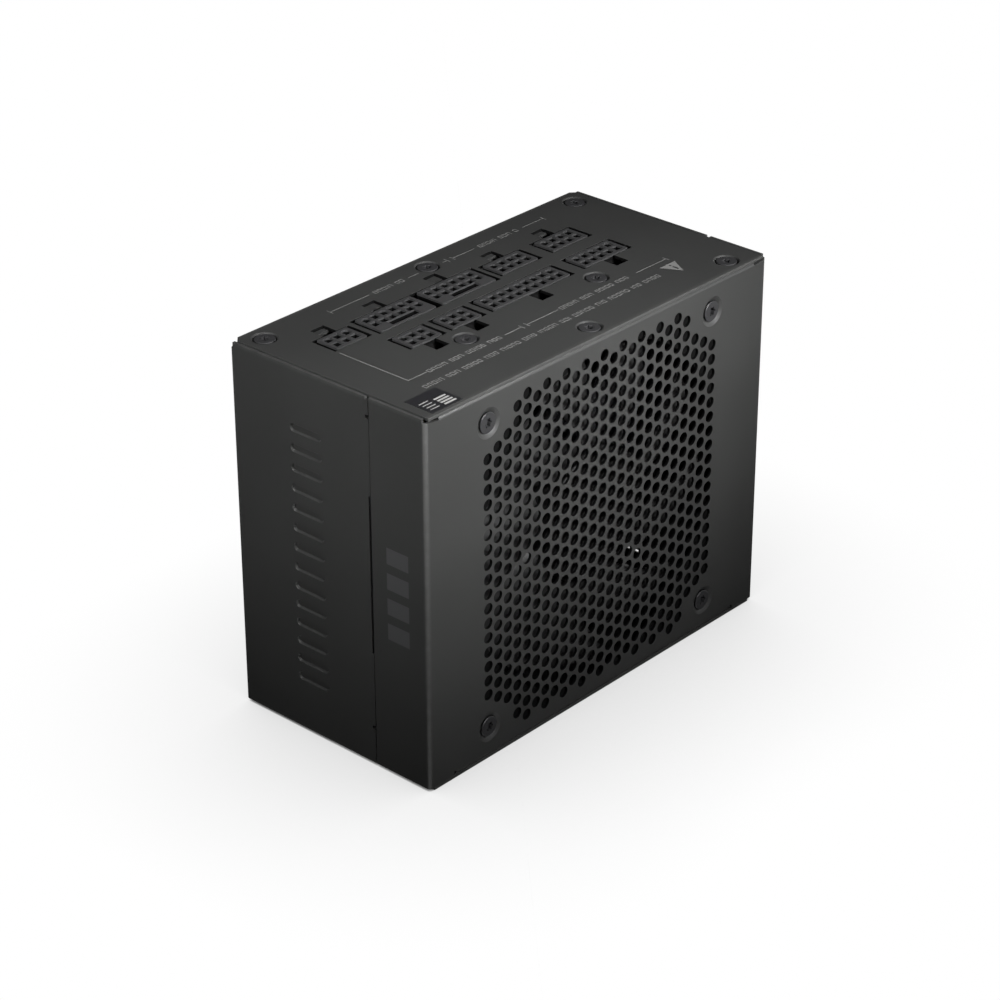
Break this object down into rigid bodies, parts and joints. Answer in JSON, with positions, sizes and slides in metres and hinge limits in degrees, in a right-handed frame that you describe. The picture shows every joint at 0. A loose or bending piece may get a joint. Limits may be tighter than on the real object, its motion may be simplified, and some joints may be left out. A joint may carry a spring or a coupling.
{
  "type": "modular computer power supply",
  "caption": "Compact steel-cased computer power supply with a perforated fan face, a spinning fan, a panel of cable sockets and a mains inlet with rocker switch.",
  "frame": {"origin": "centre of the mains end wall's outer face, on which the unit stands", "axes": "+X along the 125 mm width, +Y from the fan face to the label face, +Z from the mains end up to the sockets"},
  "size_m": [0.125, 0.0636, 0.1],
  "materials": {
    "housing_paint": "fine-textured dark grey powder coat",
    "sticker_black": "satin printed seal",
    "label_film": "satin printed film",
    "insulation_film": "matt",
    "circuit_board": "satin solder mask",
    "tinned_contact": "bright tin",
    "nickel_contact": "bright nickel",
    "black_screw": "black oxide",
    "bright_steel": "bright zinc",
    "brass_post": "machined",
    "black_plastic": "fine spark-eroded grain",
    "switch_plastic": "moulded, semi-gloss",
    "socket_nylon": "moulded nylon, semi-gloss",
    "blue_ceramic": "dipped",
    "fuse_ceramic": "matt",
    "wire_sleeve": "soft sleeve",
    "white_nylon": "moulded",
    "fan_plastic": "moulded, semi-gloss",
    "copper_winding": "enamelled wire",
    "sintered_bronze": "sintered",
    "magnet": "bonded ferrite",
    "film_capacitor": "moulded case",
    "epoxy_package": "moulded epoxy",
    "heatsink_aluminium": "extruded",
    "capacitor_sleeve": "shrink sleeve",
    "capacitor_can": "drawn can",
    "ferrite": "sintered, ground",
    "winding_tape": "polyester tape"
  },
  "bodies": {
    "housing": {"base_shell": "housing_paint", "bearing_sleeve": "sintered_bronze", "board_posts": "brass_post", "bridge_rectifier": "epoxy_package", "bulk_capacitor": "capacitor_sleeve", "bus_bars": "tinned_contact", "common_mode_chokes": "copper_winding", "connector_panel": "housing_paint", "control_board": "circuit_board", "converter_boards": "circuit_board", "end_wall_screws": "black_screw", "fan_circuit_board": "circuit_board", "fan_cover": "housing_paint", "fan_frame": "fan_plastic", "fan_lead": "wire_sleeve", "fan_plug": "white_nylon", "fan_screws": "black_screw", "fan_stator": "copper_winding", "filter_board": "circuit_board", "filter_capacitors": "blue_ceramic", "fuse": "fuse_ceramic", "inlet_body": "black_plastic", "inlet_pins": "nickel_contact", "inlet_screws_and_nuts": "black_screw", "insulation_sheet": "insulation_film", "main_board": "circuit_board", "main_board_screws": "bright_steel", "mains_wires": "wire_sleeve", "modular_board": "circuit_board", "modular_board_screws": "black_screw", "modular_posts": "brass_post", "output_capacitors": "capacitor_can", "panel_screws": "black_screw", "pfc_choke": "copper_winding", "pfc_transistors": "epoxy_package", "primary_heatsink": "heatsink_aluminium", "rating_label": "label_film", "resonant_capacitor": "film_capacitor", "seal_sticker": "sticker_black", "secondary_heatsink": "heatsink_aluminium", "socket_10": "socket_nylon", "socket_12_left": "socket_nylon", "socket_12_right": "socket_nylon", "socket_18": "socket_nylon", "socket_6_left_lower": "socket_nylon", "socket_6_left_upper": "socket_nylon", "socket_6_middle_lower": "socket_nylon", "socket_8_left": "socket_nylon", "socket_8_right": "socket_nylon", "socket_pins": "tinned_contact", "standby_transformer": "winding_tape", "switch_body": "black_plastic", "switch_terminals": "nickel_contact", "transformer_core": "ferrite", "transformer_winding": "winding_tape", "x_capacitor": "film_capacitor"},
    "fan": {"fan_rotor": "fan_plastic", "magnet_ring": "magnet", "fan_shaft": "bright_steel"},
    "switch_rocker": {"rocker": "switch_plastic"}
  },
  "joints": [
    {"name": "fan_spin", "type": "hinge", "parent": "housing", "child": "fan", "pos_m": [0, -0.024, 0.05], "axis": [0, 1, 0], "continuous": true},
    {"name": "switch_rock", "type": "hinge", "parent": "housing", "child": "switch_rocker", "pos_m": [0.003, 0.0135, 0.0046], "axis": [1, 0, 0], "range_deg": [0, 16]}
  ]
}
